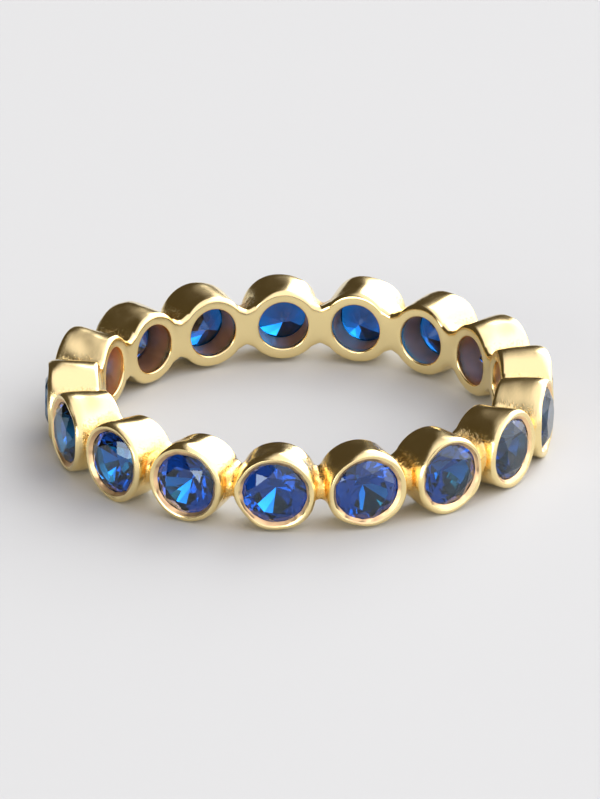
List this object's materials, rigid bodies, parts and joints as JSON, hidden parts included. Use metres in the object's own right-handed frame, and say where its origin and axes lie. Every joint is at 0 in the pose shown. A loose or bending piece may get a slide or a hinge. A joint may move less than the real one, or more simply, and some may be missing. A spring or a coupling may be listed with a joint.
{
  "type": "gemstone eternity ring",
  "caption": "Finger ring: a closed row of round bezel cups soldered edge to edge, each holding a brilliant-cut blue stone.",
  "frame": {"origin": "under the middle of the finger hole, on the surface that the ring lies on", "axes": "+Z along the finger hole's axis, as the ring lies on its side; the first cup and its stone face -Y; cups are numbered anticlockwise seen from +Z"},
  "size_m": [0.022, 0.0218, 0.0035],
  "materials": {
    "gold": "polished yellow gold with hand-burnished rims and rougher solder between the cups",
    "sapphire": "clear, deep blue, faceted and polished"
  },
  "bodies": {
    "root": {"band": "gold", "stone_01": "sapphire", "stone_02": "sapphire", "stone_03": "sapphire", "stone_04": "sapphire", "stone_05": "sapphire", "stone_06": "sapphire", "stone_07": "sapphire", "stone_08": "sapphire", "stone_09": "sapphire", "stone_10": "sapphire", "stone_11": "sapphire", "stone_12": "sapphire", "stone_13": "sapphire", "stone_14": "sapphire", "stone_15": "sapphire", "stone_16": "sapphire", "stone_17": "sapphire"}
  },
  "joints": []
}
